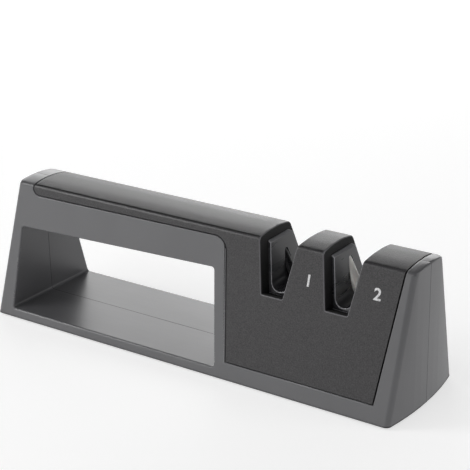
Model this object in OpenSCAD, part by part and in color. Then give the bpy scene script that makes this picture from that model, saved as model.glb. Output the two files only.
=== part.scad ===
// Pull-through knife sharpener with a window handle and two V slots.
// The grey body is two moulded halves that meet on the middle plane. A textured
// black cover saddles the crown and the sharpening head. In each slot a smooth
// guide steers the blade onto two crossed rods, which a cradle holds from below.
// X runs along the body with the slots at +X, -Y is the front and Z is up.
// The origin is on the surface that the feet stand on, half way along the base.

/* [Body] */
// Length of the base along its front edge
body_l = 201; // [190:1:215]
// Width of the base, front to back
body_w = 56.4; // [52:0.2:62]
// Height of the crown above the body's lower edge
body_h = 60.3; // [58.7:0.2:64.1]
// Rise of the arched crown across its width
crown_rise = 1.2; // [0.6:0.1:2]
// Lean of the front and back faces, in degrees
face_lean = 15.4; // [14:0.1:16]
// Lean of the handle end, in degrees
handle_end_lean = 4.1; // [3:0.1:7]
// Lean of the slot end, in degrees
head_end_lean = 1; // [0:0.1:3]
// How far each end bows out at its middle
end_bow = 2.65; // [1.5:0.05:4]
// Radius of the four upright corners
corner_r = 2.4; // [1:0.1:4]
// Radius of the long edges of the crown
crown_edge_r = 2.4; // [1.4:0.1:3]
// Radius where the crown meets the ends
end_edge_r = 1.2; // [0.8:0.1:1.4]
// Wall thickness of the two frame halves
wall = 2.4; // [2:0.1:3]

/* [Handle window] */
// Height of the window's floor above the body's lower edge
window_floor = 3.7; // [3.5:0.1:6]
// Depth of the handle bar at its handle end, from the crown down to the window
bar_depth = 20.2; // [17.4:0.1:24]
// Upward slope of the window's top, in degrees
window_top_slope = 1.7; // [0:0.1:2]
// Distance of the window from the handle end, at its lower edge
window_setback = 8.4; // [7.4:0.1:12]
// Lean of the window's handle side, in degrees
window_left_lean = 1.4; // [0:0.1:2]
// Width of the pillar between the window and the head panel, at their feet
pillar_w = 4.9; // [4.2:0.1:12]
// Lean of the window's slot side, in degrees
window_right_lean = 10.3; // [5:0.1:12]
// Radius of the window's corners
window_r = 1.4; // [0.6:0.1:4]

/* [Cover] */
// Skin thickness of the cover
cover_t = 2; // [1.6:0.1:2.4]
// Width of the seam around the cover
seam = 0.5; // [0.2:0.05:0.6]
// Depth of the strip on the handle below the crown, half way along the body
strip_drop = 4.5; // [3.4:0.1:6.2]
// Upward slope of that edge towards the slots, in degrees
strip_slope = 0.7; // [0:0.1:1]
// Distance of the strip from the handle end
strip_setback = 10.5; // [10:0.1:20]
// Radius of the strip's lower corner
strip_corner_r = 4.6; // [2:0.1:4.8]
// Height of the head panel's lower edge
panel_z = 6.9; // [6:0.1:10]
// Distance from the coarse slot back to the panel's handle side, at its lower edge
panel_lead = 17.3; // [16.2:0.1:18]
// Lean of the panel's handle side, in degrees
panel_left_lean = 9.4; // [7:0.1:10]
// Distance of the panel from the slot end, at its lower edge
panel_margin = 7.7; // [6:0.1:9]
// Lean of the panel's side towards the slot end, in degrees
panel_right_lean = 5.1; // [2:0.1:6]
// Radius where the strip's lower edge turns down into the panel
shoulder_r = 6.5; // [4:0.1:9]
// Width of the frame's ledge under the cover's edge
ledge_w = 3; // [2:0.1:3.5]
// Thickness of that ledge
ledge_t = 1.5; // [1:0.1:2]

/* [Slots] */
// Distance of the fine slot from the slot end
fine_setback = 29.8; // [28:0.1:34]
// Distance between the two slots
slot_pitch = 29.8; // [27:0.1:33]
// Depth of a slot in the cover's faces, from the crown down to its floor
slot_depth = 22.9; // [21:0.1:25]
// Width of a slot at its floor
slot_floor_w = 10; // [9.4:0.1:11]
// Lean of a slot's side towards the handle, in degrees
slot_lean_handle = 12; // [8:0.5:13]
// Lean of a slot's other side, in degrees
slot_lean_head = 8; // [7:0.5:12]
// How far the trough behind the faces drops below the slot's floor
trough_drop = 1.3; // [0.6:0.1:2]
// Wall thickness of the trough
trough_t = 1.5; // [1.2:0.1:1.8]

/* [Slot guides] */
// Wall thickness of a guide
guide_t = 1.5; // [1.2:0.1:1.8]
// Clearance between a guide and its trough
guide_gap = 0.12; // [0.05:0.01:0.25]
// How far a guide's top lies below the crown
guide_drop = 3.8; // [2.8:0.1:5]
// Setback of a guide's front rim from the front face
guide_front_inset = 6; // [4:0.1:8]
// Setback of a guide's back rim from the back face
guide_back_inset = 2.6; // [2.5:0.1:6]
// Height of a guide's channel above its foot
channel_step = 1.4; // [1.2:0.1:2.5]
// Radius of the channel's lower corners
channel_r = 3.9; // [1.5:0.1:4]

/* [Rods] */
// Lean of each rod from upright, in degrees
rod_lean = 28; // [26:0.5:30]
// Diameter of the coarse rods
coarse_rod_d = 4.5; // [4:0.1:5]
// Diameter of the fine ceramic rods
fine_rod_d = 5; // [4.5:0.1:5.4]
// Height where a blade's edge meets the coarse rods, above the slot's floor
coarse_edge_rise = 0.8; // [0.6:0.1:2.6]
// Height where a blade's edge meets the fine rods, above the slot's floor
fine_edge_rise = 2.1; // [1.6:0.1:3.6]
// Place of the coarse crossing, front to back
coarse_y = 1.1; // [0:0.1:2]
// Place of the fine crossing, front to back
fine_y = 2.6; // [1:0.1:3]
// Length of a rod above the crossing
rod_upper_l = 20.5; // [20:0.1:21]
// Length of a rod below the crossing
rod_lower_l = 19; // [18:0.1:19.5]
// Gap between two crossed rods
rod_gap = 0.3; // [0.1:0.05:0.5]
// Clearance of a rod in its bore
rod_fit = 0.04; // [0.02:0.01:0.08]

/* [Base] */
// Thickness of the base plate
plate_t = 1.6; // [1.4:0.1:1.7]
// Clearance around the base plate
plate_gap = 0.25; // [0.1:0.05:0.5]
// How far the rubber feet stand out below the body
foot_proud = 1; // [0.6:0.1:2]
// Diameter of a foot
foot_d = 10; // [8:0.5:12]
// Depth of a foot's recess in the base plate
foot_sink = 0.6; // [0.4:0.1:0.8]
// Thickness of a rod keeper
keeper_t = 2; // [1.6:0.1:2.4]
// Core diameter of the screws
screw_d = 2.2; // [2:0.1:2.4]

/* [Hidden] */
$fn = 48;

// Facet counts of the rounded corners, the bowed ends and the outlines' corners
corner_steps = 5;
bow_steps = 10;
round_steps = 6;
slice = 0.01;
beyond = 5;

// Heights that hang from the crown
window_top = body_h - bar_depth;
strip_z = body_h - strip_drop;
slot_floor = body_h - slot_depth;
coarse_edge_z = slot_floor + coarse_edge_rise;
fine_edge_z = slot_floor + fine_edge_rise;

// Places along the body, each set out from the end or the slot that it belongs to
fine_x = body_l / 2 - fine_setback;
coarse_x = fine_x - slot_pitch;
panel_right = body_l / 2 - panel_margin;
panel_left = coarse_x - panel_lead;
window_right = panel_left - pillar_w;
window_left = window_setback - body_l / 2;
strip_left = strip_setback - body_l / 2;

// Radius of the bowed ends in plan
bow_r = (pow(body_w / 2, 2) + pow(end_bow, 2)) / (2 * end_bow);
// The pocket under the cover is this much deeper than the cover is thick
pocket_gap = 0.15;
// Floors of the trough and of the channel in the guide
trough_floor = slot_floor - trough_drop;
channel_floor = trough_floor + channel_step;
// Rounding of a slot's floor in the cover, and of a guide's back edge and top
slot_floor_r = 0.5;
guide_back_r = 1.5;
guide_top_r = 0.8;
// Inward slope of a guide's top rim
rim_slope = 55;
rim_drop = 0.9;
// Chamfer at the ends of the rods
rod_chamfer = 0.3;
// Half the spread of a rod pair, centre to centre
function spread(rod_d) = (rod_d + rod_gap) / 2;
// Cradle: walls round the rods, and clearance to the trough
cradle_wall = 1.4;
cradle_gap = 0.3;
horn_cap = 1.2;
// How far the rods' holes in troughs and guides reach past the rods' upper ends
hole_past = 3;
// Clearance of a screw in its pilot hole and in the plate
pilot_gap = 0.05;
screw_gap = 0.3;
head_d = 2 * screw_d;
head_h = 1.3;
screw_l = 10;
keeper_screw_l = 7;
keeper_head_h = 1.2;
keeper_screw_y = 4.2;
// Cross recess in a screw's head
recess_l = 2.8;
recess_w = 0.7;
recess_h = 0.8;
// Screw posts of the frame: a pair near each end and one in the pillar
post_r = 3;
post_top = 15;
post_setback = 3.2;
post_side = 15.2;
post_y = body_w / 2 - post_side;
post_places = [post_setback - body_l / 2, panel_left, body_l / 2 - post_setback];
// Columns of the cover that the cover screws go into, beside the coarse cradle and near the end
column_r = 3;
column_foot_h = 18;
column_gap = 0.8;
column_inset = 1.8;
column_places = [coarse_x - cradle_half(coarse_rod_d) - column_gap - column_r,
    panel_right - column_inset];
// Dowels that line up the two frame halves
dowel_r = 1.5;
dowel_gap = 0.1;
dowel_l = 3;
dowel_boss_r = 2.9;
handle_dowel_off = 3.8;
pillar_dowel_off = 1;
head_dowel_off = 2;
bar_dowel_rise = 5.8;
dowel_places = [[window_left - handle_dowel_off, body_h / 2],
    [(window_left + window_right) / 2, window_top + bar_dowel_rise],
    [window_right - pillar_dowel_off, body_h / 2],
    [body_l / 2 - head_dowel_off, body_h / 2]];
// Ribs inside the handle bar, and the cover's snap tabs between them
rib_t = 1.6;
rib_count = 4;
rib_step = (window_right - window_left) / (rib_count + 1);
rib_gap = 1;
rib_top = strip_z - ledge_w - rib_gap;
tab_w = 8;
tab_t = 1.3;
tab_hook = 1.2;
tab_foot = 2.4;
hook_face = 0.8;
// Feet, set in from the ends and the sides of the base
foot_end_setback = 16;
foot_side_setback = 11.2;
foot_x = body_l / 2 - foot_end_setback;
foot_y = body_w / 2 - foot_side_setback;
foot_glue = 0.05;
foot_tread_r = 0.4;
// Ribs that carry the keepers, and the room under the keepers' screws
tower_t = 1.6;
tower_half_l = 8;
tower_x = 8;
head_room = 1;
keeper_inset = 0.5;

// Points on an arc
function arc(centre, radius, from, turn, steps) =
    [for (i = [0:steps]) let (a = from + turn * i / steps) centre + radius * [cos(a), sin(a)]];

// A straight edge of an outline: its outward normal, a point on it and the rounding after it
function edge(normal, point, round) =
    [normal, point[0] * cos(normal) + point[1] * sin(normal), round];

// The point where two edges cross, after each has moved inwards by a distance
function meet(a, b, inwards) =
    let (p = a[1] - inwards, q = b[1] - inwards)
    [p * sin(b[0]) - q * sin(a[0]), q * cos(a[0]) - p * cos(b[0])] / sin(b[0] - a[0]);

// An outline from its edges in turn, grown by a distance. A negative rounding is a hollow corner.
function outline(edges, grow = 0) =
    [for (i = [0:len(edges) - 1])
        let (a = edges[i], b = edges[(i + 1) % len(edges)],
            turn = (b[0] - a[0] + 540) % 360 - 180,
            radius = a[2] + grow, corner = meet(a, b, a[2]))
        each (a[2] == 0
            ? [meet(a, b, -grow)]
            : arc(corner, radius, a[0], turn, round_steps))];

// Half the body's width at a height
function half_w(z) = body_w / 2 - z * tan(face_lean);

// Crown section: an arch that meets the leaning faces in a round edge
shoulder_z = body_h - crown_rise;
crown_half = half_w(shoulder_z);
crown_r = (pow(crown_half, 2) + pow(crown_rise, 2)) / (2 * crown_rise);
crown_centre = body_h - crown_r;
edge_a = 1 + pow(tan(face_lean), 2);
edge_reach = body_w / 2 - crown_edge_r / cos(face_lean);
edge_b = tan(face_lean) * edge_reach + crown_centre;
edge_c = pow(edge_reach, 2) + pow(crown_centre, 2) - pow(crown_r - crown_edge_r, 2);
edge_z = (edge_b + sqrt(pow(edge_b, 2) - edge_a * edge_c)) / edge_a;
edge_y = edge_reach - edge_z * tan(face_lean);
edge_turn = atan2(edge_z - crown_centre, edge_y);
crown_levels = concat(
    arc([edge_y, edge_z], crown_edge_r, face_lean, edge_turn - face_lean, 4),
    [for (s = [0.75, 0.5, 0.25]) let (y = crown_half * s)
        [y, crown_centre + sqrt(pow(crown_r, 2) - pow(y, 2))]]);

// One bowed end in plan, from its front corner round to its back corner
function end_points(corner_x, half, round) =
    let (centre_x = corner_x + end_bow - bow_r,
        reach = sqrt(pow(bow_r - round, 2) - pow(half - round, 2)),
        turn = atan2(half - round, reach))
    concat(
        arc([centre_x + reach, round - half], round, -90, 90 - turn, corner_steps),
        [for (i = [1:bow_steps - 1]) let (a = turn * (2 * i / bow_steps - 1))
            [centre_x + bow_r * cos(a), bow_r * sin(a)]],
        arc([centre_x + reach, half - round], round, turn, 90 - turn, corner_steps));

// The body in plan at a height, drawn in from its faces and its ends
function plan_points(z, face_inset, end_inset) =
    let (half = half_w(z) - face_inset,
        round = min(corner_r, 0.7 * half),
        head = end_points(body_l / 2 - z * tan(head_end_lean) - end_inset, half, round),
        handle = end_points(body_l / 2 - z * tan(handle_end_lean) - end_inset, half, round))
    concat(head, [for (i = [len(handle) - 1:-1:0]) [-handle[i][0], handle[i][1]]]);

module level(z, face_inset, end_inset) {
    translate([0, 0, z])
        linear_extrude(slice)
            polygon(plan_points(z, face_inset, end_inset));
}

// How far the round edge at the ends draws them in at a height
function end_round(z) = let (d = min(body_h - z, end_edge_r))
    end_edge_r - sqrt(pow(end_edge_r, 2) - pow(end_edge_r - d, 2));

// The outer shape of the whole body, faces, bowed ends and crown in one
module body() {
    hull() {
        level(0, 0, 0);
        for (p = crown_levels)
            level(p[1], half_w(p[1]) - p[0], end_round(p[1]));
    }
}

// The body's shape drawn in by a wall and open below, for hollowing
module core(inset) {
    hull() {
        level(-beyond, inset, inset);
        level(shoulder_z - inset, inset, inset);
        level(body_h - inset - slice, inset + crown_half / 2, inset);
    }
}

// The same without a ceiling
module open_core(inset) {
    hull() {
        level(-beyond, inset, inset);
        level(body_h + beyond, inset, inset);
    }
}

// Extrudes an outline in X and Z through the body, front to back
module across(depth = body_w + 2 * beyond) {
    translate([0, depth / 2, 0])
        rotate([90, 0, 0])
            linear_extrude(depth)
                children();
}

// Extrudes an outline in Y and Z along the body, centred on a place
module along(x, length) {
    translate([x - length / 2, 0, 0])
        rotate([90, 0, 90])
            linear_extrude(length)
                children();
}

// Outline of the handle window
window_edges = [
    edge(-90, [0, window_floor], window_r),
    edge(window_right_lean, [window_right, window_floor], window_r),
    edge(90 + window_top_slope, [window_left, window_top], window_r),
    edge(180 + window_left_lean, [window_left, window_floor], window_r)];

// Outline of the cover: the strip along the handle and the panel of the head
cover_edges = [
    edge(-90, [0, panel_z], 0),
    edge(-panel_right_lean, [panel_right, panel_z], 0),
    edge(90, [0, body_h + beyond], 0),
    edge(180, [strip_left, 0], strip_corner_r),
    edge(270 + strip_slope, [0, strip_z], -shoulder_r),
    edge(180 + panel_left_lean, [panel_left, panel_z], 0)];

// Outline of a slot, with its floor at a height
function slot_edges(x, floor_z, round) = [
    edge(-90, [x, floor_z], round),
    edge(-slot_lean_head, [x + slot_floor_w / 2, slot_floor], 0),
    edge(90, [x, body_h + beyond], 0),
    edge(180 + slot_lean_handle, [x - slot_floor_w / 2, slot_floor], round)];

// How far a slot's side is from its middle at a height, towards the head or the handle
function slot_side(side, z) =
    slot_floor_w / 2 + (z - slot_floor) * tan(side > 0 ? slot_lean_head : slot_lean_handle);

// Outline of a guide's channel, whose top rim slopes inwards
function channel_edges(x) =
    let (top = body_h - guide_drop, rim = top - rim_drop,
        right = [x + slot_side(1, rim) - guide_t, rim],
        left = [x - slot_side(-1, rim) + guide_t, rim])
    [edge(-90, [x, channel_floor], channel_r),
        edge(-slot_lean_head, right, 0),
        edge(-rim_slope, right, 0),
        edge(90, [x, body_h + beyond], 0),
        edge(180 + rim_slope, left, 0),
        edge(180 + slot_lean_handle, left, channel_r)];

// The space of a rod, or of its bore when it is given a clearance
module rod_space(x, y, rod_d, edge_z, side, clearance, above) {
    below = rod_lower_l + beyond;
    translate([x, y - side * spread(rod_d), edge_z - rod_d / 2 / sin(rod_lean)])
        rotate([0, side * rod_lean, 0])
            translate([0, 0, -below])
                cylinder(d = rod_d + 2 * clearance, h = above + below);
}

// The cover's region: its outline front and back, and the bow of its handle end
module cover_region(grow) {
    turn = asin(body_w / 2 / bow_r);
    intersection() {
        across()
            polygon(outline(cover_edges, grow));
        linear_extrude(body_h + beyond)
            polygon(concat([[body_l, -body_w], [body_l, body_w]],
                arc([strip_left - grow + bow_r, 0], bow_r, 180 - turn, 2 * turn, bow_steps)));
    }
}

// Frame

module frame_cavity() {
    difference() {
        union() {
            core(wall + ledge_t);
            intersection() {
                open_core(wall + ledge_t);
                translate([strip_left + ledge_w, -body_w / 2, window_top])
                    cube([panel_left - strip_left, body_w, body_h]);
            }
            difference() {
                core(wall);
                across()
                    difference() {
                        polygon(outline(cover_edges, ledge_w));
                        polygon(outline(cover_edges, -ledge_w));
                    }
            }
        }
        across()
            intersection() {
                polygon(outline(window_edges, wall));
                translate([-body_l / 2, plate_t])
                    square([body_l, body_h]);
            }
        for (x = post_places, side = [-1, 1])
            translate([x, side * post_y, plate_t])
                cylinder(r = post_r, h = post_top - plate_t);
        for (p = dowel_places)
            translate([p[0], 0, p[1]])
                rotate([90, 0, 0])
                    cylinder(r = dowel_boss_r, h = body_w, center = true);
        for (i = [1:rib_count])
            translate([window_left + i * rib_step - rib_t / 2, -body_w / 2, window_top])
                cube([rib_t, body_w, rib_top - window_top]);
    }
}

module frame_half(side) {
    difference() {
        intersection() {
            body();
            translate([-body_l, side > 0 ? 0 : -body_w, -beyond])
                cube([2 * body_l, body_w, body_h + 2 * beyond]);
        }
        frame_cavity();
        across()
            polygon(outline(window_edges));
        difference() {
            cover_region(0);
            core(cover_t + pocket_gap);
        }
        across()
            polygon(outline(cover_edges, -ledge_w));
        for (x = post_places)
            translate([x, side * post_y, plate_t - slice])
                cylinder(d = screw_d + 2 * pilot_gap, h = screw_l);
        if (side > 0)
            for (p = dowel_places)
                translate([p[0], 0, p[1]])
                    rotate([90, 0, 0])
                        cylinder(r = dowel_r + dowel_gap, h = 2 * (dowel_l + dowel_gap), center = true);
    }
}

module front_frame() {
    color("#6e6f72")
        lift() {
            frame_half(-1);
            for (p = dowel_places)
                translate([p[0], 0, p[1]])
                    rotate([90, 0, 0])
                        cylinder(r = dowel_r, h = 2 * dowel_l, center = true);
        }
}

module rear_frame() {
    color("#6e6f72")
        lift()
            frame_half(1);
}

// Cover

// A snap tab that hooks under the handle bar's ledge, seen from the end
module snap_tab(x) {
    ledge_foot = strip_z + x * tan(strip_slope) - ledge_w;
    root = body_h - cover_t;
    function tab_y(z, out) = half_w(z) - wall - ledge_t - cradle_gap + out;
    for (side = [0, 1])
        mirror([0, side, 0])
            along(x, tab_w)
                polygon([
                    [tab_y(root, -tab_t), root],
                    [tab_y(ledge_foot, -tab_t), ledge_foot - tab_foot],
                    [tab_y(ledge_foot, 0), ledge_foot - tab_foot],
                    [tab_y(ledge_foot, tab_hook), ledge_foot - pocket_gap - hook_face],
                    [tab_y(ledge_foot, tab_hook), ledge_foot - pocket_gap],
                    [tab_y(ledge_foot, 0), ledge_foot - pocket_gap],
                    [tab_y(root, 0), root]]);
}

module trough_walls() {
    across()
        for (x = [coarse_x, fine_x])
            difference() {
                polygon(outline(slot_edges(x, trough_floor, 0), trough_t));
                polygon(outline(slot_edges(x, trough_floor, 0)));
            }
}

module top_cover() {
    color("#3b3a3d")
        lift() {
            difference() {
                intersection() {
                    body();
                    cover_region(-seam);
                }
                difference() {
                    core(cover_t);
                    trough_walls();
                    for (x = column_places)
                        translate([x, 0, plate_t])
                            cylinder(r = column_r, h = body_h);
                }
                across()
                    for (x = [coarse_x, fine_x])
                        polygon(outline(slot_edges(x, slot_floor, slot_floor_r)));
                rod_windows();
                for (x = column_places)
                    translate([x, 0, plate_t - slice])
                        cylinder(d = screw_d + 2 * pilot_gap, h = screw_l);
            }
            for (x = column_places)
                translate([x, 0, plate_t])
                    difference() {
                        cylinder(r = column_r, h = column_foot_h);
                        translate([0, 0, -slice])
                            cylinder(d = screw_d + 2 * pilot_gap, h = screw_l);
                    }
            for (i = [1.5:2:rib_count])
                snap_tab(window_left + i * rib_step);
        }
}

// Holes that the rods pass through in the troughs and the guides
module rod_windows() {
    for (side = [-1, 1]) {
        rod_space(coarse_x, coarse_y, coarse_rod_d, coarse_edge_z, side, cradle_gap, rod_upper_l + hole_past);
        rod_space(fine_x, fine_y, fine_rod_d, fine_edge_z, side, cradle_gap, rod_upper_l + hole_past);
    }
}

// Slot guides

module guide(x) {
    top = body_h - guide_drop;
    difference() {
        intersection() {
            across()
                difference() {
                    polygon(outline(slot_edges(x, trough_floor - guide_gap, 0), -guide_gap));
                    polygon(outline(channel_edges(x)));
                    translate([x - body_w / 2, top])
                        square([body_w, body_w]);
                }
            along(x, body_w)
                polygon(outline([
                    edge(-90, [0, trough_floor], 0),
                    edge(face_lean, [half_w(0) - guide_back_inset, 0], guide_back_r),
                    edge(90, [0, top], guide_top_r),
                    edge(180 - face_lean, [guide_front_inset - half_w(0), 0], 0)]));
        }
        rod_windows();
    }
}

module coarse_guide() {
    color("#45454a")
        lift()
            guide(coarse_x);
}

module fine_guide() {
    color("#45454a")
        lift()
            guide(fine_x);
}

// Rods

// A rod with a small chamfer at each end
module rod(x, y, rod_d, edge_z, side) {
    translate([x, y - side * spread(rod_d), edge_z - rod_d / 2 / sin(rod_lean)])
        rotate([0, side * rod_lean, 0]) {
            translate([0, 0, rod_chamfer - rod_lower_l])
                cylinder(d = rod_d, h = rod_upper_l + rod_lower_l - 2 * rod_chamfer);
            translate([0, 0, -rod_lower_l])
                cylinder(d1 = rod_d - 2 * rod_chamfer, d2 = rod_d, h = rod_chamfer);
            translate([0, 0, rod_upper_l - rod_chamfer])
                cylinder(d1 = rod_d, d2 = rod_d - 2 * rod_chamfer, h = rod_chamfer);
        }
}

module coarse_rod_front() {
    color("#2b2a2c")
        lift()
            rod(coarse_x, coarse_y, coarse_rod_d, coarse_edge_z, 1);
}

module coarse_rod_rear() {
    color("#2b2a2c")
        lift()
            rod(coarse_x, coarse_y, coarse_rod_d, coarse_edge_z, -1);
}

module fine_rod_front() {
    color("#eeece6")
        lift()
            rod(fine_x, fine_y, fine_rod_d, fine_edge_z, 1);
}

module fine_rod_rear() {
    color("#eeece6")
        lift()
            rod(fine_x, fine_y, fine_rod_d, fine_edge_z, -1);
}

// Cradles and keepers

// Lower face of a cradle, just under the ends of its rods
function cradle_foot(rod_d, edge_z) =
    edge_z - rod_d / 2 / sin(rod_lean) - rod_lower_l * cos(rod_lean) - rod_d / 2 * sin(rod_lean) - rod_fit;
// Half the length of a cradle
function cradle_half(rod_d) = rod_lower_l * sin(rod_lean) + rod_d / 2 * cos(rod_lean) + cradle_wall;
// Where a cradle's horn clears the trough's outer side at a height
function horn_side(side, z) =
    slot_side(side, z) + (trough_t + cradle_gap) / cos(max(slot_lean_head, slot_lean_handle));

// Two plates side by side, each with one bored horn that rises beside the trough
module cradle(x, y, rod_d, edge_z) {
    foot = cradle_foot(rod_d, edge_z);
    half = cradle_half(rod_d);
    shelf = trough_floor - trough_t - cradle_gap;
    horn = edge_z - rod_d / 2 / sin(rod_lean) + rod_upper_l * cos(rod_lean)
        + rod_d / 2 * sin(rod_lean) + horn_cap;
    depth = spread(rod_d) + rod_d / 2 + cradle_wall;
    difference() {
        for (side = [-1, 1])
            translate([x, y - side * depth / 2, 0])
                across(depth)
                    polygon([for (p = [[-half, foot], [half, foot], [half, horn],
                        [horn_side(side, horn), horn], [horn_side(side, shelf), shelf],
                        [-half, shelf]])
                        [side * p[0], p[1]]]);
        for (side = [-1, 1]) {
            rod_space(x, y, rod_d, edge_z, side, rod_fit, rod_upper_l + rod_fit);
            translate([x, y + side * keeper_screw_y, foot - slice])
                cylinder(d = screw_d + 2 * pilot_gap, h = keeper_screw_l);
        }
    }
}

module coarse_cradle() {
    color("#8a8c90")
        lift()
            cradle(coarse_x, coarse_y, coarse_rod_d, coarse_edge_z);
}

module fine_cradle() {
    color("#8a8c90")
        lift()
            cradle(fine_x, fine_y, fine_rod_d, fine_edge_z);
}

// Height of the face that a keeper rests on
function keeper_foot(rod_d, edge_z) = cradle_foot(rod_d, edge_z) - keeper_t;

// A plate that closes the bores of a cradle from below
module keeper(x, y, rod_d, edge_z) {
    half = cradle_half(rod_d) - keeper_inset;
    depth = spread(rod_d) + rod_d / 2 + cradle_wall - keeper_inset;
    translate([x, y, keeper_foot(rod_d, edge_z)])
        difference() {
            translate([-half, -depth, 0])
                cube([2 * half, 2 * depth, keeper_t]);
            for (side = [-1, 1])
                translate([0, side * keeper_screw_y, -slice])
                    cylinder(d = screw_d + screw_gap, h = keeper_t + 2 * slice);
        }
}

module coarse_keeper() {
    color("#5a5c60")
        lift()
            keeper(coarse_x, coarse_y, coarse_rod_d, coarse_edge_z);
}

module fine_keeper() {
    color("#5a5c60")
        lift()
            keeper(fine_x, fine_y, fine_rod_d, fine_edge_z);
}

// The cross that a driver fits, cut upwards into a screw's head
module cross_recess() {
    for (turn = [0, 90])
        rotate([0, 0, turn])
            translate([-recess_l / 2, -recess_w / 2, -slice])
                cube([recess_l, recess_w, recess_h + slice]);
}

// Pan-head screws that hold a keeper to its cradle
module keeper_screw_pair(x, y, foot) {
    for (side = [-1, 1])
        translate([x, y + side * keeper_screw_y, foot - keeper_head_h])
            difference() {
                union() {
                    cylinder(d = head_d, h = keeper_head_h);
                    cylinder(d = screw_d, h = keeper_head_h + keeper_screw_l);
                }
                cross_recess();
            }
}

module keeper_screws() {
    color("silver")
        lift() {
            keeper_screw_pair(coarse_x, coarse_y, keeper_foot(coarse_rod_d, coarse_edge_z));
            keeper_screw_pair(fine_x, fine_y, keeper_foot(fine_rod_d, fine_edge_z));
        }
}

// Base

// Ribs that stand on the base plate and carry one keeper
module tower(x, y, rod_d, edge_z) {
    height = keeper_foot(rod_d, edge_z) - plate_t;
    translate([x, y, plate_t]) {
        for (side = [-1, 1])
            translate([side * tower_x - tower_t / 2, -tower_half_l, 0])
                cube([tower_t, 2 * tower_half_l, height]);
        translate([-tower_x, -tower_t / 2, 0])
            cube([2 * tower_x, tower_t, height - keeper_head_h - head_room]);
    }
}

// A countersunk hole through the base plate
module plate_hole() {
    translate([0, 0, -slice])
        cylinder(d = screw_d + screw_gap, h = plate_t + 2 * slice);
    cylinder(d1 = head_d, d2 = screw_d, h = head_h);
}

module base_plate() {
    inset = wall + plate_gap;
    color("#55565a")
        lift()
            difference() {
                union() {
                    linear_extrude(plate_t)
                        polygon(plan_points(plate_t, inset, inset));
                    tower(coarse_x, coarse_y, coarse_rod_d, coarse_edge_z);
                    tower(fine_x, fine_y, fine_rod_d, fine_edge_z);
                }
                for (x = post_places, side = [-1, 1])
                    translate([x, side * post_y, 0])
                        plate_hole();
                for (x = column_places)
                    translate([x, 0, 0])
                        plate_hole();
                for (x = [-foot_x, foot_x], y = [-foot_y, foot_y])
                    translate([x, y, -slice])
                        cylinder(d = foot_d + 2 * foot_glue, h = foot_sink + slice);
            }
}

// A countersunk self-tapping screw, head down
module screw() {
    difference() {
        union() {
            cylinder(d1 = head_d, d2 = screw_d, h = head_h);
            translate([0, 0, head_h])
                cylinder(d = screw_d, h = screw_l - head_h);
        }
        cross_recess();
    }
}

module frame_screws() {
    color("silver")
        lift()
            for (x = post_places, side = [-1, 1])
                translate([x, side * post_y, 0])
                    screw();
}

module cover_screws() {
    color("silver")
        lift()
            for (x = column_places)
                translate([x, 0, 0])
                    screw();
}

// A rubber foot in its recess, with a rounded tread edge
module foot(x_side, y_side) {
    color("#1d1d1f")
        translate([x_side * foot_x, y_side * foot_y, 0]) {
            cylinder(d1 = foot_d - 2 * foot_tread_r, d2 = foot_d, h = foot_tread_r);
            translate([0, 0, foot_tread_r])
                cylinder(d = foot_d, h = foot_proud + foot_sink - foot_tread_r);
        }
}

module foot_front_left() {
    foot(-1, -1);
}

module foot_front_right() {
    foot(1, -1);
}

module foot_rear_left() {
    foot(-1, 1);
}

module foot_rear_right() {
    foot(1, 1);
}

// Raises a piece of the body by the height that the feet stand out
module lift() {
    translate([0, 0, foot_proud])
        children();
}

front_frame();
rear_frame();
top_cover();
coarse_guide();
fine_guide();
coarse_rod_front();
coarse_rod_rear();
fine_rod_front();
fine_rod_rear();
coarse_cradle();
fine_cradle();
coarse_keeper();
fine_keeper();
keeper_screws();
base_plate();
frame_screws();
cover_screws();
foot_front_left();
foot_front_right();
foot_rear_left();
foot_rear_right();
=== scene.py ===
from math import cos, pi, radians, sin, tan

import bmesh
import bpy
from mathutils import Matrix, Vector
from mathutils.bvhtree import BVHTree


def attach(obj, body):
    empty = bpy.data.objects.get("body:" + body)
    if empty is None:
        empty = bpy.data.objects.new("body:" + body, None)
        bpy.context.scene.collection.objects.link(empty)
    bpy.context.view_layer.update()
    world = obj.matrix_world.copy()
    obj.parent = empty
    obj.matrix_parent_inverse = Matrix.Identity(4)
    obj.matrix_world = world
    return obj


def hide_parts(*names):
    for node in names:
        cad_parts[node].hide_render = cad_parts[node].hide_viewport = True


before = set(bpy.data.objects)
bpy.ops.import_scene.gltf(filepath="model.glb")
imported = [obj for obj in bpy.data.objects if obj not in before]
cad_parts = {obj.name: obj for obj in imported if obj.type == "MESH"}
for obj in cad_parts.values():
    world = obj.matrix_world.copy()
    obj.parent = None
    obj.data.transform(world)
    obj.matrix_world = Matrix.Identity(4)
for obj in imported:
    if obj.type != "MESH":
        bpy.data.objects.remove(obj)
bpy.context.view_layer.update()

# The body halves
# Two moulded ABS shells that meet on the middle plane, where a fine parting line shows. The
# mould is finely polished, so the faces are satin, and handling has rubbed the rims smoother.
SAME_PLACE = 1e-6
SAME_PLANE = radians(0.3)


def solid_copy(node):
    """The triangles of a node in a bmesh, merged, with each flat face made whole."""
    shell = bmesh.new()
    shell.from_mesh(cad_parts[node].data)
    bmesh.ops.remove_doubles(shell, verts=shell.verts, dist=SAME_PLACE)
    bmesh.ops.dissolve_limit(shell, angle_limit=SAME_PLANE, verts=shell.verts, edges=shell.edges)
    return shell


def outer_skin(*nodes):
    """A search tree of the body's outer surface, which bulges everywhere."""
    points = bmesh.new()
    for node in nodes:
        points.from_mesh(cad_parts[node].data)
    bmesh.ops.delete(points, geom=points.edges[:] + points.faces[:], context="EDGES_FACES")
    bmesh.ops.convex_hull(points, input=points.verts)
    tree = BVHTree.FromBMesh(points)
    points.free()
    return tree


body_skin = outer_skin("front_frame", "rear_frame", "top_cover")
SKIN_DEPTH = 6e-5


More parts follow.
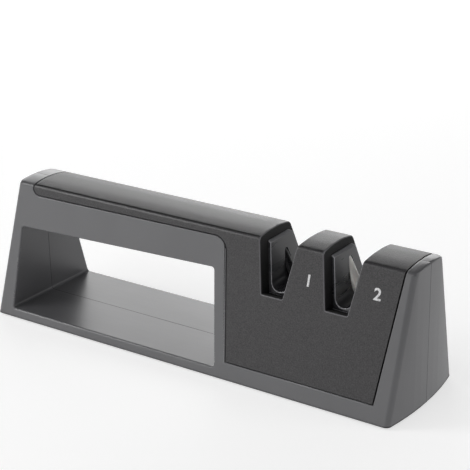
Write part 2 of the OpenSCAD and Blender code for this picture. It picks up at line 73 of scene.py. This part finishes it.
def on_skin(item):
    """Whether all of an edge or a face lies in the body's outer surface."""
    corners = [v.co for v in item.verts]
    corners.append(sum(corners, Vector()) / len(corners))
    return all(body_skin.find_nearest(p, SKIN_DEPTH)[0] is not None for p in corners)


def middle(rim):
    """The middle of an edge."""
    return (rim.verts[0].co + rim.verts[1].co) / 2


# Rim widths are shares of the widest, the window's, because a Bevel weight is at most 1.
WIDEST_RIM = 0.0008
SHARP = radians(28)


def round_rims(shell, rim_width):
    """Gives each sharp edge the width in metres that rim_width tells, for a Bevel to round."""
    weight = shell.edges.layers.float.new("bevel_weight_edge")
    for rim in shell.edges:
        sharp = rim.is_manifold and rim.calc_face_angle() > SHARP
        width = rim_width(rim) if sharp else 0
        rim[weight] = width / WIDEST_RIM
        rim.smooth = not sharp or width > 0
    for face in shell.faces:
        face.smooth = True


def finished(shell, name, materials, node):
    """Makes the bmesh a piece that stands for a node. Its rims wear the second material."""
    mesh = bpy.data.meshes.new(name)
    shell.to_mesh(mesh)
    shell.free()
    piece = bpy.data.objects.new(name, mesh)
    bpy.context.scene.collection.objects.link(piece)
    for material in materials:
        mesh.materials.append(material)
    rims = piece.modifiers.new("rims", "BEVEL")
    rims.limit_method = "WEIGHT"
    rims.width = WIDEST_RIM
    rims.segments = 3
    # The second material is each piece's rim colour, a painted highlight along the rounded rims.
    rims.material = 1
    rims.miter_outer = "MITER_SHARP"
    rims.use_clamp_overlap = False
    flats = piece.modifiers.new("flat_faces", "WEIGHTED_NORMAL")
    flats.keep_sharp = True
    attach(piece, "root")
    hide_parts(node)


def srgb(code):
    """A hex colour as the linear values that a shader takes."""
    def linear(c):
        return c / 12.92 if c <= 0.04045 else ((c + 0.055) / 1.055) ** 2.4
    return tuple(linear(int(code[i:i + 2], 16) / 255) for i in (1, 3, 5)) + (1.0,)


def add(tree, kind, inputs, stops=()):
    """Adds a node with its inputs' values or sources, and the stops of a colour ramp."""
    node = tree.nodes.new(kind)
    for place, (position, colour) in enumerate(stops):
        element = node.color_ramp.elements[place]
        element.position = position
        element.color = srgb(colour) if isinstance(colour, str) else (colour, colour, colour, 1)
    for name, value in inputs.items():
        if isinstance(value, bpy.types.NodeSocket):
            tree.links.new(value, node.inputs[name])
        else:
            node.inputs[name].default_value = value
    return node


def new_material(name):
    """An empty material, its node tree and its Object coordinates."""
    material = bpy.data.materials.new(name)
    material.use_nodes = True
    material.node_tree.nodes.clear()
    place = add(material.node_tree, "ShaderNodeTexCoord", {}).outputs["Object"]
    return material, material.node_tree, place


def satin_abs(name, dark, light, roughness):
    """Satin ABS: flow marks some centimetres long, hair scuffs along X and a fine mould grain."""
    material, tree, place = new_material(name)
    flow = add(tree, "ShaderNodeTexNoise",
               {"Vector": place, "Scale": 28.0, "Detail": 3.0}).outputs["Fac"]
    colour = add(tree, "ShaderNodeValToRGB", {"Fac": flow}, [(0.35, dark), (0.65, light)])
    # A hair scuff is about 1 mm across and 16 mm long.
    along = add(tree, "ShaderNodeMapping",
                {"Vector": place, "Scale": (60, 900, 900)}).outputs["Vector"]
    scuff = add(tree, "ShaderNodeTexNoise",
                {"Vector": along, "Scale": 1.0, "Detail": 1.0}).outputs["Fac"]
    gloss = add(tree, "ShaderNodeValToRGB", {"Fac": scuff},
                [(0.2, roughness - 0.015), (0.8, roughness + 0.025)])
    # The grain of the mould is about 0.1 mm. It is drawn at 0.7 mm, as a render pixel is 0.4 mm.
    pores = add(tree, "ShaderNodeTexNoise",
                {"Vector": place, "Scale": 1500.0, "Detail": 2.0}).outputs["Fac"]
    bump = add(tree, "ShaderNodeBump",
               {"Strength": 0.25, "Distance": 0.00004, "Height": pores}).outputs["Normal"]
    wave = add(tree, "ShaderNodeBump",
               {"Strength": 0.2, "Distance": 0.0004, "Height": flow, "Normal": bump})
    shader = add(tree, "ShaderNodeBsdfPrincipled",
                 {"Base Color": colour.outputs["Color"], "Roughness": gloss.outputs["Color"],
                  "Normal": wave.outputs["Normal"], "IOR": 1.52})
    add(tree, "ShaderNodeOutputMaterial", {"Surface": shader.outputs["BSDF"]})
    return material


# The satin faces give a broad, soft sheen that runs from pale to dark along each face.
grey_abs = satin_abs("satin_grey_abs", "#535355", "#575759", 0.34)
# The rubbed rims are smoother, and their paler colour is a painted highlight: a thin glint round
# every outline.
rubbed_abs_painted_highlight = satin_abs("rubbed_grey_abs_painted_highlight", "#5c5c5e", "#626264", 0.26)
# The parting groove holds shade and dust, and gives one hair-thin dull line.
parting_abs = satin_abs("parting_line_abs", "#3a3a3c", "#404042", 0.5)

# In metres: a box that holds the window's walls and rims, the groove's width, how near the
# middle plane its own edges lie, and below what height a rim is at the body's foot.
WINDOW_X = (-0.0950, 0.0210)
WINDOW_Z = (0.0043, 0.0448)
GROOVE = 0.00013
SEAM = 0.0003
BODY_FOOT = 0.0012
FOOT_RIM = 0.0005
OUTER_RIM = 0.00035
END_CUTS = (0.002, 0.0575)


def in_window(p):
    """Whether a place lies in the window or on its walls and rims."""
    return WINDOW_X[0] < p.x < WINDOW_X[1] and WINDOW_Z[0] < p.z < WINDOW_Z[1]


def parting_line(shell):
    """Cuts the small groove where the halves meet, seen outside and in the window."""
    def seen(rim):
        return on_skin(rim) or in_window(middle(rim))

    meeting = [e for e in shell.edges if all(abs(v.co.y) < 1e-5 for v in e.verts)]
    seam = [e for e in meeting if e.is_manifold and e.calc_face_angle() > SHARP and seen(e)]
    groove = bmesh.ops.bevel(shell, geom=seam, offset=GROOVE, offset_type="OFFSET", segments=1,
                             profile=0.5, affect="EDGES", material=-1)
    for face in groove["faces"]:
        face.material_index = 2


def guard_ends(shell):
    """Cuts the end walls just inside their rims, so that the rims' shading stays out of them."""
    for z in END_CUTS:
        walls = [f for f in shell.faces if abs(f.normal.x) > 0.9 and on_skin(f)]
        corners = {v for f in walls for v in f.verts}
        borders = {e for f in walls for e in f.edges}
        bmesh.ops.bisect_plane(shell, geom=[*corners, *borders, *walls], dist=SAME_PLACE,
                               plane_co=(0, 0, z), plane_no=(0, 0, 1))


def frame_rim(rim):
    """The width that the mould gives each rim of a body half."""
    p = middle(rim)
    if abs(p.y) < SEAM or not on_skin(rim):
        return 0
    if p.z < BODY_FOOT:
        return FOOT_RIM
    return WIDEST_RIM if in_window(p) else OUTER_RIM


for half in ("front_frame", "rear_frame"):
    shell = solid_copy(half)
    parting_line(shell)
    guard_ends(shell)
    round_rims(shell, frame_rim)
    finished(shell, half + "_shell", (grey_abs, rubbed_abs_painted_highlight, parting_abs), half)

# The cover
# A charcoal ABS saddle, moulded in one piece with its slot troughs. Its outside has a spark-
# eroded grain that hands rub smoother along the ridges, where a lighter colour paints their
# sheen.
# Its troughs and every face off the outer surface are painted near black as painted shade.


def eroded_abs(name, dark, fleck, roughness, depth=0.5):
    """ABS from a spark-eroded mould: a dense field of tiny craters that scatters the light."""
    material, tree, place = new_material(name)
    # The real grain is about 0.2 mm. It is drawn at 0.5 mm so that the render shows it.
    craters = add(tree, "ShaderNodeTexNoise", {"Vector": place, "Scale": 2000.0,
                                               "Detail": 3.0, "Roughness": 0.6}).outputs["Fac"]
    colour = add(tree, "ShaderNodeValToRGB", {"Fac": craters}, [(0.36, dark), (0.68, fleck)])
    gloss = add(tree, "ShaderNodeValToRGB", {"Fac": craters},
                [(0.3, roughness - 0.05), (0.7, roughness + 0.07)])
    bump = add(tree, "ShaderNodeBump", {"Strength": depth, "Distance": 0.0001, "Height": craters})
    shader = add(tree, "ShaderNodeBsdfPrincipled",
                 {"Base Color": colour.outputs["Color"], "Roughness": gloss.outputs["Color"],
                  "Normal": bump.outputs["Normal"], "IOR": 1.52})
    add(tree, "ShaderNodeOutputMaterial", {"Surface": shader.outputs["BSDF"]})
    return material


# The eroded faces give an even dark field with a fine speckle, and no clear reflections.
charcoal_abs = eroded_abs("eroded_charcoal_abs", "#0b0a0c", "#393739", 0.45, depth=1.0)
# The rubbed ridges have a flatter grain, and their lighter colour is a painted sheen along the
# strip.
rubbed_charcoal_painted_sheen = eroded_abs("charcoal_ridge_painted_sheen_abs", "#252426", "#3c3b3d", 0.34, depth=0.4)
# Blades polish the slots' rims, and their pale colour is a painted highlight: a thin pale line
# round each slot.
shiny_rim_painted_highlight_abs = satin_abs("shiny_charcoal_abs_painted_highlight", "#5b5a5d", "#656467", 0.25)
# The troughs are painted near black as painted shade, so each slot looks deep.
painted_shade_trough_abs = eroded_abs("matt_black_abs_painted_shade", "#060607", "#0c0c0d", 0.8)

# The slots' places along the body, how far their rims reach from there, and where they end below.
SLOTS = {"coarse": 0.0409, "fine": 0.0707}
SLOT_REACH = 0.0115
SLOT_FLOOR = 0.0375
SLOT_RIM = 0.0004
TILTED = 0.4


def cover_rim(rim):
    """The mould rounds the slots' rims, and leaves the thin edge along the seam sharp."""
    p = middle(rim)
    beside_slot = any(abs(p.x - slot) < SLOT_REACH for slot in SLOTS.values())
    return SLOT_RIM if beside_slot and p.z > SLOT_FLOOR and on_skin(rim) else 0


shell = solid_copy("top_cover")
# Faces off the outer surface take the painted shade, and the tilted ridge faces take the painted
# sheen.
for face in shell.faces:
    on_ridge = face.normal.z > TILTED and abs(face.normal.y) > TILTED
    face.material_index = 2 if not on_skin(face) else 3 if on_ridge else 0
round_rims(shell, cover_rim)
finished(shell, "grained_cover", (charcoal_abs, shiny_rim_painted_highlight_abs, painted_shade_trough_abs, rubbed_charcoal_painted_sheen),
         "top_cover")

# The slot guides
# Smooth dark inserts of moulded nylon, pushed into the troughs to steer the blade. Their walls
# are polished in the mould, and blades sliding past leave their rims shinier. The rims and the
# lead-in slopes are painted paler, as a painted highlight and painted light from above.


def polished_nylon(name, dark, light, roughness):
    """Nylon from a polished mould, with long faint streaks where blades have slid along it."""
    material, tree, place = new_material(name)
    # A streak is about 3 mm across and runs 25 mm along the slot.
    along = add(tree, "ShaderNodeMapping",
                {"Vector": place, "Scale": (300, 40, 300)}).outputs["Vector"]
    streak = add(tree, "ShaderNodeTexNoise",
                 {"Vector": along, "Scale": 1.0, "Detail": 2.0}).outputs["Fac"]
    colour = add(tree, "ShaderNodeValToRGB", {"Fac": streak}, [(0.35, dark), (0.65, light)])
    gloss = add(tree, "ShaderNodeValToRGB", {"Fac": streak},
                [(0.3, roughness - 0.02), (0.7, roughness + 0.03)])
    shader = add(tree, "ShaderNodeBsdfPrincipled",
                 {"Base Color": colour.outputs["Color"], "Roughness": gloss.outputs["Color"],
                  "IOR": 1.53})
    add(tree, "ShaderNodeOutputMaterial", {"Surface": shader.outputs["BSDF"]})
    return material


# The polished walls give a dark, smooth gradient with a soft sheen at the mouth.
dark_nylon = polished_nylon("polished_dark_nylon", "#303033", "#39393c", 0.28)
# The rims are painted pale as a painted highlight, a thin pale U in each slot.
painted_highlight_nylon_rim = polished_nylon("nylon_rim_painted_highlight", "#909094", "#9c9ca0", 0.22)
# The lead-in slopes are worn by blades, and their paler colour is painted light from above, as
# they face up.
rubbed_nylon_painted_light = polished_nylon("rubbed_dark_nylon_painted_light", "#69696c", "#757578", 0.3)

# The rods' openings lie nearer the middle plane than ROD_GAP, and the lead-ins above LEAD_IN.
ROD_GAP = 0.004
CHANNEL_FLOOR = 0.034
CHANNEL_RIM = 0.00028
LEAD_IN = 0.05


def edges_channel(rim, slot):
    """Whether an edge ends a face that looks into the channel of a slot's guide."""
    def faces_channel(face):
        inwards = face.normal.x * (slot - face.calc_center_median().x) > 0
        return (inwards or face.normal.z > 0.5) and abs(face.normal.y) < 0.5

    p = middle(rim)
    outside = abs(p.y) > ROD_GAP and p.z > CHANNEL_FLOOR
    return outside and rim.is_convex and any(faces_channel(f) for f in rim.link_faces)


for stage, slot in SLOTS.items():
    shell = solid_copy(stage + "_guide")
    # The upward lead-in faces take the painted light.
    for face in shell.faces:
        sloped = face.calc_center_median().z > LEAD_IN and face.normal.z > TILTED
        face.material_index = 2 if sloped else 0
    round_rims(shell, lambda rim: CHANNEL_RIM if edges_channel(rim, slot) else 0)
    finished(shell, stage + "_guide_insert", (dark_nylon, painted_highlight_nylon_rim, rubbed_nylon_painted_light),
             stage + "_guide")

# The rods
# The coarse pair is steel with bonded black grit, and the fine pair is ground white ceramic.
# Each is a plain round bar with a small chamfer at its ends, pushed into its bored cradle.
#
# The black grit gives a dull, rough sparkle.
coarse_grit, tree, place = new_material("bonded_black_grit")
# The real grit is about 0.1 mm. It is drawn at 0.4 mm so that the render shows it.
grit = add(tree, "ShaderNodeTexVoronoi", {"Vector": place, "Scale": 2400.0}).outputs["Distance"]
colour = add(tree, "ShaderNodeValToRGB", {"Fac": grit}, [(0.2, "#3c3c3e"), (0.6, "#161618")])
bump = add(tree, "ShaderNodeBump", {"Strength": 0.8, "Distance": 0.0001, "Height": grit})
shader = add(tree, "ShaderNodeBsdfPrincipled",
             {"Base Color": colour.outputs["Color"], "Roughness": 0.42, "Metallic": 0.5,
              "Normal": bump.outputs["Normal"]})
add(tree, "ShaderNodeOutputMaterial", {"Surface": shader.outputs["BSDF"]})

# The ceramic gives a clean white, a little soft in the shade, with a satin highlight.
fine_ceramic, tree, place = new_material("ground_white_ceramic")
cloud = add(tree, "ShaderNodeTexNoise",
            {"Vector": place, "Scale": 220.0, "Detail": 3.0}).outputs["Fac"]
colour = add(tree, "ShaderNodeValToRGB", {"Fac": cloud}, [(0.35, "#eceae6"), (0.65, "#f6f4f0")])
ground = add(tree, "ShaderNodeTexNoise",
             {"Vector": place, "Scale": 2200.0, "Detail": 2.0}).outputs["Fac"]
bump = add(tree, "ShaderNodeBump", {"Strength": 0.3, "Distance": 0.00004, "Height": ground})
shader = add(tree, "ShaderNodeBsdfPrincipled",
             {"Base Color": colour.outputs["Color"], "Roughness": 0.34, "IOR": 1.77,
              "Subsurface Weight": 0.15, "Subsurface Radius": (0.0012, 0.001, 0.0009),
              "Normal": bump.outputs["Normal"]})
add(tree, "ShaderNodeOutputMaterial", {"Surface": shader.outputs["BSDF"]})


def dress(material, *nodes):
    """Gives carried-over nodes a material in place of their own."""
    for node in nodes:
        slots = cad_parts[node].data.materials
        slots.clear()
        slots.append(material)


dress(coarse_grit, "coarse_rod_front", "coarse_rod_rear")
dress(fine_ceramic, "fine_rod_front", "fine_rod_rear")

# Inside and below
# The cradles and keepers are plain grey ABS that nobody sees, and the base plate is dark ABS
# with a light mould texture. The screws are zinc-plated steel and the feet soft black rubber.
#
# The hidden ABS looks flat and pale.
dress(satin_abs("plain_grey_abs", "#85878b", "#8d8f93", 0.5),
      "coarse_cradle", "fine_cradle", "coarse_keeper", "fine_keeper")
# The plate looks dark and matt, with a light speckle.
dress(eroded_abs("matt_plate_abs", "#333436", "#434447", 0.55), "base_plate")
# The rubber gives a dull black without highlights.
dress(eroded_abs("soft_black_rubber", "#161617", "#202022", 0.75),
      "foot_front_left", "foot_front_right", "foot_rear_left", "foot_rear_right")

# The zinc gives a cool bright metal with a cloudy bloom.
zinc_steel, tree, place = new_material("zinc_plated_steel")
# The zinc has crystals of about 1 mm that differ a little in tone and gloss.
bloom = add(tree, "ShaderNodeTexNoise",
            {"Vector": place, "Scale": 700.0, "Detail": 4.0}).outputs["Fac"]
colour = add(tree, "ShaderNodeValToRGB", {"Fac": bloom}, [(0.35, "#a9abad"), (0.65, "#c9cbcc")])
gloss = add(tree, "ShaderNodeValToRGB", {"Fac": bloom}, [(0.3, 0.24), (0.7, 0.4)])
bump = add(tree, "ShaderNodeBump", {"Strength": 0.2, "Distance": 0.00005, "Height": bloom})
shader = add(tree, "ShaderNodeBsdfPrincipled",
             {"Base Color": colour.outputs["Color"], "Roughness": gloss.outputs["Color"],
              "Metallic": 1.0, "Normal": bump.outputs["Normal"]})
add(tree, "ShaderNodeOutputMaterial", {"Surface": shader.outputs["BSDF"]})

dress(zinc_steel, "keeper_screws", "frame_screws", "cover_screws")

# The stage numbers
# Plain numerals on the cover beside each slot, 1 for the first stage and 2 for the second.
# They are pad-printed in white, a film of 0.06 mm on the eroded face.
#
# The ink gives a flat white, slightly worn through to grey.
white_ink, tree, place = new_material("white_pad_ink")
worn = add(tree, "ShaderNodeTexNoise",
           {"Vector": place, "Scale": 1400.0, "Detail": 2.0}).outputs["Fac"]
colour = add(tree, "ShaderNodeValToRGB", {"Fac": worn}, [(0.3, "#a5a5a6"), (0.5, "#d6d6d7")])
shader = add(tree, "ShaderNodeBsdfPrincipled",
             {"Base Color": colour.outputs["Color"], "Roughness": 0.5})
add(tree, "ShaderNodeOutputMaterial", {"Surface": shader.outputs["BSDF"]})

# The front face leans back from its foot, which the feet lift a little off the ground.
FACE_LEAN = radians(15.4)
FACE_FOOT = -0.0282
FEET = 0.001
DIGIT_HEIGHT = 0.0068
BOLDER = 0.00013
INK = 0.00006


def stage_number(digit, x, z):
    """Prints a numeral on the cover's front face, centred on a place along and up the body."""
    curve = bpy.data.curves.new("stage_" + digit, "FONT")
    curve.body = digit
    curve.size = DIGIT_HEIGHT
    curve.align_x = "CENTER"
    curve.align_y = "CENTER"
    curve.offset = BOLDER
    curve.extrude = INK / 2
    text = bpy.data.objects.new("stage_" + digit, curve)
    bpy.context.scene.collection.objects.link(text)
    bpy.context.view_layer.update()
    flat_text = text.evaluated_get(bpy.context.evaluated_depsgraph_get())
    mesh = bpy.data.meshes.new_from_object(flat_text)
    bpy.data.objects.remove(text)
    y = FACE_FOOT + (z - FEET) * tan(FACE_LEAN)
    proud = Vector((0, -cos(FACE_LEAN), sin(FACE_LEAN))) * INK / 2
    mesh.transform(Matrix.Translation(Vector((x, y, z)) + proud)
                   @ Matrix.Rotation(pi / 2 - FACE_LEAN, 4, "X"))
    piece = bpy.data.objects.new("stage_number_" + digit, mesh)
    bpy.context.scene.collection.objects.link(piece)
    mesh.materials.clear()
    mesh.materials.append(white_ink)
    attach(piece, "root")


stage_number("1", 0.0565, 0.0480)
stage_number("2", 0.0871, 0.0492)

# The studio
# A pale seamless sweep that glows a little, and softboxes round the tool. The low ones behind
# give the window's floor and the strip their sheen, and the high ones pick out the ridges.
#
# The sweep gives an almost white ground with a soft contact shadow.
pale, tree, place = new_material("pale_floor")
shader = add(tree, "ShaderNodeBsdfPrincipled",
             {"Base Color": srgb("#bcbcbc"), "Roughness": 0.9, "Emission Color": srgb("#ffffff"),
              "Emission Strength": 0.62})
add(tree, "ShaderNodeOutputMaterial", {"Surface": shader.outputs["BSDF"]})

SWEEP_RADIUS = 3.0
SWEEP_CURVE = ((0.06, 0.01), (0.04, 0.04), (0.01, 0.06), (0.0, 0.62))
sweep = bmesh.new()
bmesh.ops.create_circle(sweep, cap_ends=True, radius=SWEEP_RADIUS, segments=96)
rim = sweep.edges[:]
for outwards, rise in SWEEP_CURVE:
    grown = bmesh.ops.extrude_edge_only(sweep, edges=rim)["geom"]
    rim = [e for e in grown if isinstance(e, bmesh.types.BMEdge) and len(e.link_faces) == 1]
    for corner in {v for e in rim for v in e.verts}:
        corner.co += Vector((corner.co.x, corner.co.y, 0)).normalized() * outwards
        corner.co.z += rise
floor_mesh = bpy.data.meshes.new("studio_sweep")
sweep.to_mesh(floor_mesh)
sweep.free()
floor_mesh.materials.append(pale)
floor = bpy.data.objects.new("studio_sweep", floor_mesh)
bpy.context.scene.collection.objects.link(floor)

# All light comes from the sweep and the softboxes, and none from the sky.
world = bpy.data.worlds.new("white_studio")
world.use_nodes = True
world.node_tree.nodes["Background"].inputs["Color"].default_value = (1, 1, 1, 1)
world.node_tree.nodes["Background"].inputs["Strength"].default_value = 0.0
bpy.context.scene.world = world

TOOL_MIDDLE = Vector((0, 0, 0.03))


def softbox(name, place, width, height, watts):
    """An area light that faces the tool."""
    light = bpy.data.lights.new(name, "AREA")
    light.shape = "RECTANGLE"
    light.size = width
    light.size_y = height
    light.energy = watts
    lamp = bpy.data.objects.new(name, light)
    bpy.context.scene.collection.objects.link(lamp)
    lamp.location = place
    lamp.rotation_euler = (TOOL_MIDDLE - lamp.location).to_track_quat("-Z", "Y").to_euler()


softbox("front_left", (-0.8, -1.0, 0.6), 1.6, 1.2, 8.4)
softbox("high_front", (0.05, -0.95, 0.9), 0.5, 0.5, 1.9)
softbox("high_left", (-0.84, -0.46, 0.95), 0.35, 0.35, 3.2)
softbox("overhead", (0.0, 0.25, 1.2), 1.6, 1.2, 0.9)
softbox("right", (1.2, 0.4, 0.7), 0.8, 0.8, 4.6)
softbox("low_back_left", (-0.85, 0.95, 0.45), 0.8, 0.5, 4.4)
softbox("low_back", (-0.3, 1.3, 0.35), 1.0, 0.4, 4.0)

# The camera
# It stands where the photograph's perspective puts it, 0.6 m away, with a long lens.
FOCAL_PIXELS = 1369.487
IMAGE_PIXELS = 470
SENSOR = 36
HEADING = radians(33.478)
DOWNWARDS = radians(20.806)
lens = bpy.data.cameras.new("photo_camera")
lens.sensor_width = SENSOR
lens.lens = FOCAL_PIXELS / IMAGE_PIXELS * SENSOR
camera = bpy.data.objects.new("photo_camera", lens)
bpy.context.scene.collection.objects.link(camera)
camera.location = (0.308704, -0.449494, 0.257165 + FEET)
camera.rotation_euler = (pi / 2 - DOWNWARDS, 0, HEADING)
bpy.context.scene.camera = camera
bpy.context.scene.view_settings.view_transform = "Standard"
